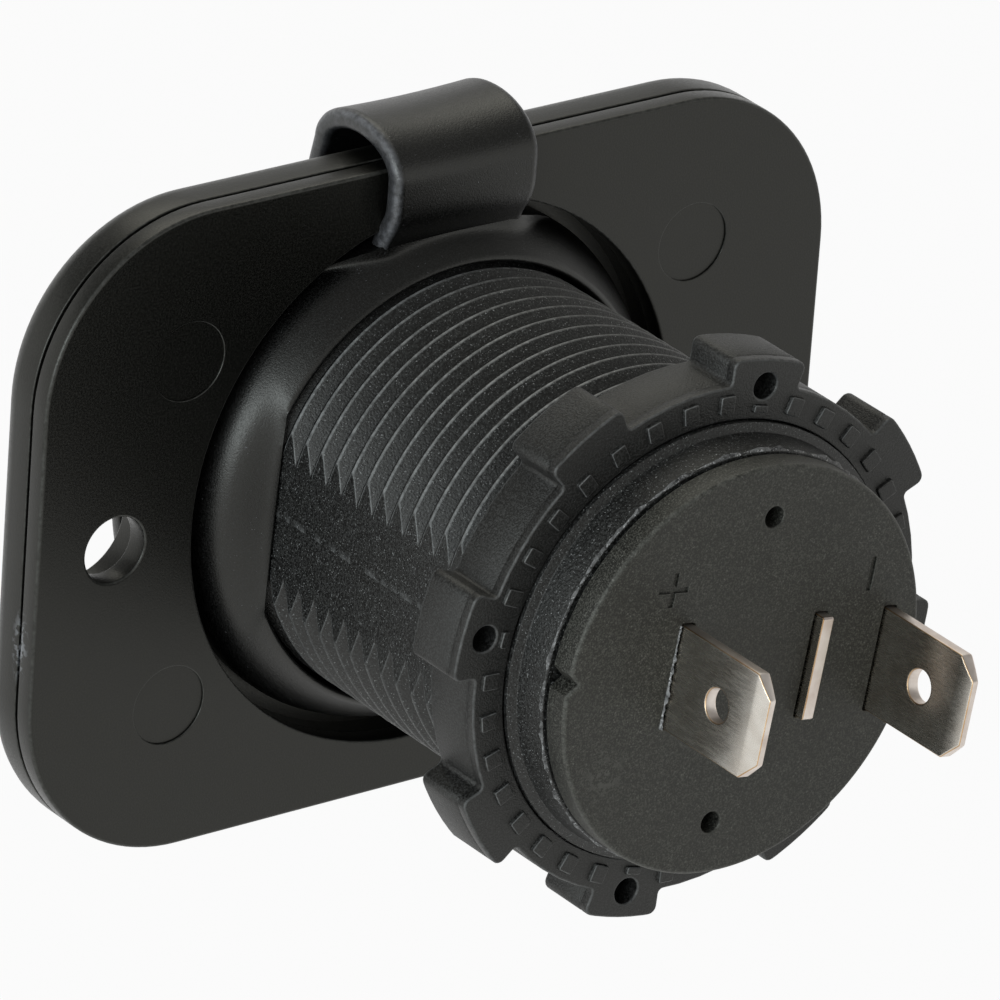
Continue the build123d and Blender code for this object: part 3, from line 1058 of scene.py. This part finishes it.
def blade_outline(start, tip, cut):
    """A blade seen from the side, drawn with its length along the first axis."""
    narrow = inner_strip_width / 2
    wide = blade_width / 2
    corner = blade_corner_share * cut
    lower = [
        (start, -narrow, 0),
        (disc_front, -narrow, 0),
        (disc_front, -wide, blade_shoulder),
        (tip - cut, -wide, corner),
        (tip, cut - wide, corner),
    ]
    upper = [(length, -height, rounding) for length, height, rounding in reversed(lower)]
    return rounded(lower + upper)


def stand(form, corners, side):
    """Moves corners drawn as (length, thickness, height) to a blade's place."""
    matrix = terminal_frame @ Matrix.Translation((side, 0, 0))
    matrix @= Matrix(((0, -1, 0, 0), (1, 0, 0, 0), (0, 0, 1, 0), (0, 0, 0, 1)))
    bmesh.ops.transform(form, matrix=matrix, verts=corners)


def taper_tip(form, old, tip):
    """Thins a blade towards its tip, as it is coined."""
    for step in range(taper_steps):
        parts = [corner for corner in form.verts if corner not in old]
        geometry = set(parts)
        for corner in parts:
            geometry.update(corner.link_edges, corner.link_faces)
        start = tip - blade_taper * (1 - step / taper_steps)
        bmesh.ops.bisect_plane(
            form, geom=list(geometry), dist=0.01, plane_co=(start, 0, 0), plane_no=(1, 0, 0)
        )
    for corner in form.verts:
        reach = (corner.co.x - tip + blade_taper) / blade_taper
        if corner not in old and reach > 0:
            corner.co.y *= 1 - (1 - blade_tip_share) * reach**taper_power


def add_blade(form, side, start, tip, cut, hole):
    """A blade with sheared edges; its faces, walls and rounded edges get the three metals."""
    old = set(form.verts)
    half = blade_thickness / 2
    stations = wall(-half, half, blade_edge, blade_edge)
    loops = [(blade_outline(start, tip, cut), stations)]
    if hole:
        loops.append((circle(blade_hole_radius, hole_steps, blade_hole_y), flipped(stations)))
    slab(form, loops)
    form.normal_update()
    for face in form.faces:
        if face.verts[0] in old:
            continue
        lean = abs(face.normal.y)
        if lean > face_lean:
            face.material_index = 0
        elif lean < wall_lean:
            face.material_index = 1
        else:
            face.material_index = 2
    if hole:
        taper_tip(form, old, tip)
    stand(form, [corner for corner in form.verts if corner not in old], side)


def add_block(form, low, high):
    """A plain foot under the disc, between two corners."""
    middle = (Vector(low) + Vector(high)) / 2
    size = Vector(high) - Vector(low)
    matrix = terminal_frame @ (Matrix.Translation(middle) @ Matrix.Diagonal((*size, 1)))
    bmesh.ops.create_cube(form, size=1, matrix=matrix)


def add_terminal(name, form, node):
    """Makes a terminal's piece from a form, with a metal each for faces, walls and edges."""
    piece = add_piece(name, form, [blade_metal, blade_shear, blade_brass], [node])
    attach(piece, "socket")


def make_terminals():
    half_strip = inner_strip_width / 2
    half = blade_thickness / 2
    form = new_form()
    add_blade(form, positive_side, negative_foot_rear, blade_tip, blade_corner, True)
    low = (foot_inner, negative_foot_rear, -half_strip)
    add_block(form, low, (positive_side + half, positive_foot_rear, half_strip))
    add_terminal("positive_blade", form, "positive_terminal")
    form = new_form()
    add_blade(form, negative_side, negative_foot_front, blade_tip, blade_corner, True)
    add_blade(form, stub_side, negative_foot_front, stub_tip, stub_corner, False)
    low = (negative_side - half, negative_foot_front, -half_strip)
    add_block(form, low, (stub_side + half, negative_foot_rear, half_strip))
    add_terminal("negative_blade", form, "negative_terminal")


def arc_through(start, middle, end, steps):
    """Points of the arc through three points."""
    a, b, c = (Vector(point) for point in (start, middle, end))
    d = 2 * (a.x * (b.y - c.y) + b.x * (c.y - a.y) + c.x * (a.y - b.y))
    aa, bb, cc = (point.length_squared for point in (a, b, c))
    x = (aa * (b.y - c.y) + bb * (c.y - a.y) + cc * (a.y - b.y)) / d
    y = (aa * (c.x - b.x) + bb * (a.x - c.x) + cc * (b.x - a.x)) / d
    centre = Vector((x, y))
    return arc(centre, a - centre, c - centre, steps)


def make_collar():
    form = new_form()
    bulge = arc_through(
        (ring_radius, recess_floor + ring_edge_height),
        (ring_bulge_radius, recess_floor + ring_bulge_height),
        (ring_bore_radius + ring_land, ring_top),
        ring_bulge_steps,
    )
    corners = [(ring_bore_radius, recess_floor, 0), (ring_radius, recess_floor, ring_foot_edge)]
    corners += [(point.x, point.y, 0) for point in bulge]
    corners.append((ring_bore_radius, ring_top, ring_top_edge))
    lathe(form, rounded(corners), collar_steps)
    for corner in form.verts:
        across = math.degrees(abs(math.atan2(corner.co.x, corner.co.z)))
        near = smooth_share((lip_end - across) / (lip_end - lip_start))
        level = recess_floor + ring_edge_height + lip_lift * near
        if corner.co.y > recess_floor + lip_floor:
            above = corner.co.y - level
            corner.co.y = level + (above + math.hypot(above, lip_blend * near)) / 2
        x, z = turned([(corner.co.x, corner.co.z)], -body_turn)[0]
        pull = smooth_share((ring_flat_reach - math.hypot(x, z)) / (ring_flat_reach - ring_bore_radius))
        if abs(x) > flat_distance + ring_flat_gap:
            x -= math.copysign((abs(x) - flat_distance - ring_flat_gap) * pull, x)
        corner.co.x, corner.co.z = turned([(x, z)], body_turn)[0]
    return add_piece("rubber_collar", form, [strap_rubber], ["strap_ring"])


def make_cap():
    form = new_form()
    inner = skirt_radius - skirt_wall
    dish = cap_front + cap_dish_depth
    corners = [
        (cap_centre, dish, 0),
        (cap_dish_radius - cap_dish_depth, dish, cap_edge),
        (cap_dish_radius, cap_front, cap_edge),
        (cap_radius, cap_front, cap_rounding),
        (cap_radius, cap_rear, cap_edge),
        (skirt_radius, cap_rear, skirt_root),
        (skirt_radius, skirt_end, skirt_edge),
        (inner, skirt_end, skirt_edge),
        (inner, cap_rear, cap_edge),
        (cap_centre, cap_rear, 0),
    ]
    lathe(form, rounded(corners), barrel_steps)
    return add_piece("rubber_cap", form, [strap_rubber], ["dust_cap"])


def strap_path():
    """The strap's middle line as (y, z) points, from its root in the collar over the plate to the cap."""
    rear = loop_y + loop_half
    front = loop_y - loop_half
    foot = rear - strap_dip
    bend = [Vector((foot - strap_plunge, strap_foot_z - strap_root)), Vector((foot, strap_foot_z))]
    bend += [Vector((rear, strap_bend_z)), Vector((rear, loop_z))]
    points = []
    for first, last in zip(bend, bend[1:]):
        points += [first.lerp(last, step / bend_steps) for step in range(bend_steps)]
    for _ in range(bend_passes):
        triples = zip(points, points[1:], points[2:])
        inner = [(before + 2 * here + after) / 4 for before, here, after in triples]
        points = points[:1] + inner + points[-1:]
    for step in range(crown_steps + 1):
        way = polar(1.0, 180 * step / crown_steps)
        points.append(Vector((loop_y + loop_half * way.x, loop_z + loop_rise * way.y)))
    cap_middle = cap_rear - strap_thickness / 2
    down = [
        (front - front_bow, loop_z - front_drop),
        (cap_middle + cap_bow, flange_radius + cap_rise),
        (cap_middle, flange_radius),
        (cap_middle, flange_radius - cap_reach),
    ]
    return points + [Vector(point) for point in down]


def strap_section():
    """The strap cut across, with extra points along its width so that it can sag in the middle."""
    corners = []
    half = strap_width / 2
    thick = strap_thickness / 2
    for side in (-1, 1):
        corners.append((side * -half, side * thick, strap_edge))
        corners.append((side * -half, side * -thick, strap_edge))
        corners += [(side * share * half, side * -thick, 0) for share in strap_shares]
    return rounded(corners)


def make_strap():
    form = new_form()
    path = strap_path()
    section = strap_section()
    rings = []
    for index, here in enumerate(path):
        along = path[min(index + 1, len(path) - 1)] - path[max(index - 1, 0)]
        along.normalize()
        across = Vector((-along.y, along.x))
        ring = []
        lift = max(here.y - loop_z, 0.0) / loop_rise
        for point in section:
            saddle = strap_saddle * lift * (1 - (2 * point.x / strap_width) ** 2)
            place = here + across * (point.y + saddle)
            # Painted highlight: the strap's side walls are made paler, most of all at the outer corners.
            side = smooth_share((abs(point.x) - strap_width / 2) / strap_edge + 1)
            outer = smooth_share(-2 * point.y / strap_thickness)
            wear_and_shading = side * (strap_side_highlight + (1 - strap_side_highlight) * outer)
            ring.append(add_corner(form, (point.x, place.x, place.y), wear_and_shading))
        rings.append(ring)
    bands(form, rings)
    form.faces.new(rings[0])
    form.faces.new(rings[-1])
    return add_piece("cap_strap", form, [strap_rubber])


def dress_inside():
    """Materials of the solids that show as they are."""
    looks = {
        "contact_shell": shell_metal,
        "insulating_washer": washer_fibre,
        "rear_washer": washer_fibre,
        "centre_contact": contact_brass,
        "contact_rivet": contact_brass,
    }
    for name, material in looks.items():
        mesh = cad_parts[name].data
        mesh.materials.clear()
        mesh.materials.append(material)


for piece in (make_front_plate(), make_back_plate(), make_barrel(), make_disc(), make_collar()):
    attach(piece, "socket")
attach(make_nut(), "nut")
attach(make_cap(), "cap")
make_terminals()
strap_inside = loop_half - strap_thickness / 2
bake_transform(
    make_strap(), "socket", "cap",
    start=(0, (loop_y + strap_inside) * MM, loop_z * MM), end=(0, (loop_y - strap_inside) * MM, loop_z * MM),
)
dress_inside()

# Studio: a round white floor and wall, open above to a dim sky
floor_drop = 120.0
room_radius = 3000.0
wall_height = 1415.0
cove_radius = 750.0
floor_steps = 4
cove_steps = 12
room_steps = 64
room_paint = (0.45, 0.45, 0.45)
room_roughness = 0.9
ambient = 0.3
shadow_share = 0.05


def seen_directly(nodes):
    """A factor that is 1 for rays from the camera, from glossy surfaces and through clear ones."""
    path = nodes.add("ShaderNodeLightPath", {})
    factor = path.outputs["Is Camera Ray"]
    for name in ("Is Glossy Ray", "Is Transmission Ray"):
        factor = nodes.calculate("MAXIMUM", factor, path.outputs[name])
    return factor


def room_white():
    """Paint that looks white, with a little shadow, and lights the socket as a grey."""
    nodes = Nodes("room", {"Base Color": (*room_paint, 1.0), "Roughness": room_roughness})
    lift = nodes.multiply(seen_directly(nodes), 1 - shadow_share)
    glow = nodes.add("ShaderNodeEmission", {}).outputs["Emission"]
    mix = nodes.add("ShaderNodeMixShader", {0: lift, 1: nodes.shader.outputs["BSDF"], 2: glow})
    nodes.feed(nodes.tree.nodes["Material Output"], {"Surface": mix.outputs["Shader"]})
    return nodes.material


def make_world():
    world = bpy.data.worlds.new("studio")
    world.use_nodes = True
    light = world.node_tree.nodes["Background"]
    light.inputs["Color"].default_value = (1, 1, 1, 1)
    light.inputs["Strength"].default_value = ambient
    bpy.context.scene.world = world


def room_profile():
    """The room's section as (radius, height) points: the floor, a rounded cove and the wall."""
    corner = room_radius - cove_radius
    points = [(corner * step / floor_steps, 0.0) for step in range(1, floor_steps + 1)]
    for step in range(1, cove_steps + 1):
        way = polar(cove_radius, 90 * step / cove_steps - 90)
        points.append((corner + way.x, cove_radius + way.y))
    points.append((room_radius, wall_height))
    return points


def make_room():
    form = bmesh.new()
    rings = []
    for radius, height in room_profile():
        points = circle(radius, room_steps)
        rings.append([form.verts.new((point.x, point.y, height)) for point in points])
    form.faces.new(rings[0])
    bands(form, rings)
    mesh = mesh_of("room", form)
    mesh.materials.append(room_white())
    room = add_object("room", mesh)
    room.location.z = cad_box[0].z - floor_drop * MM


def direction_of(azimuth, elevation):
    """The direction from the object to a view at that azimuth and elevation."""
    a = math.radians(azimuth)
    e = math.radians(elevation)
    return Vector((math.sin(a) * math.cos(e), -math.cos(a) * math.cos(e), math.sin(e)))


def add_lamp(name, azimuth, elevation, distance, width, height, power, colour):
    """A soft lamp that faces the socket."""
    data = bpy.data.lights.new(name, "AREA")
    data.shape = "RECTANGLE"
    data.size = width * MM
    data.size_y = height * MM
    data.energy = power
    data.color = colour
    lamp = add_object(name, data)
    back = direction_of(azimuth, elevation)
    lamp.location = back * distance * MM
    lamp.rotation_mode = "QUATERNION"
    lamp.rotation_quaternion = back.to_track_quat("Z", "Y")
    lamp.visible_camera = False


# Camera, from the photograph's perspective
image_size = 1000
focal_pixels = 11682.4
sensor_width = 36.0
view_azimuth = 142.008
view_elevation = 25.004
view_roll = 4.2
view_distance = 679.72
view_aim = (-2.826, 2.932, -1.225)
near_clip = 50.0
far_clip = 20000.0


def make_camera():
    data = bpy.data.cameras.new("camera")
    data.sensor_width = sensor_width
    data.lens = focal_pixels * sensor_width / image_size
    data.clip_start = near_clip * MM
    data.clip_end = far_clip * MM
    camera = add_object("camera", data)
    back = direction_of(view_azimuth, view_elevation)
    camera.location = (Vector(view_aim) + back * view_distance) * MM
    level = (-back).to_track_quat("-Z", "Y").to_matrix()
    camera.rotation_mode = "QUATERNION"
    camera.rotation_quaternion = (level @ Matrix.Rotation(math.radians(view_roll), 3, "Z")).to_quaternion()
    bpy.context.scene.camera = camera


make_world()
make_room()
add_lamp(
    "left_lamp", azimuth=110, elevation=14, distance=520, width=420, height=220,
    power=1.5, colour=(0.86, 0.94, 1.0),
)
add_lamp(
    "back_lamp", azimuth=330, elevation=60, distance=700, width=500, height=500,
    power=1.6, colour=(1.0, 0.98, 0.9),
)
make_camera()
bpy.context.scene.view_settings.view_transform = "Standard"
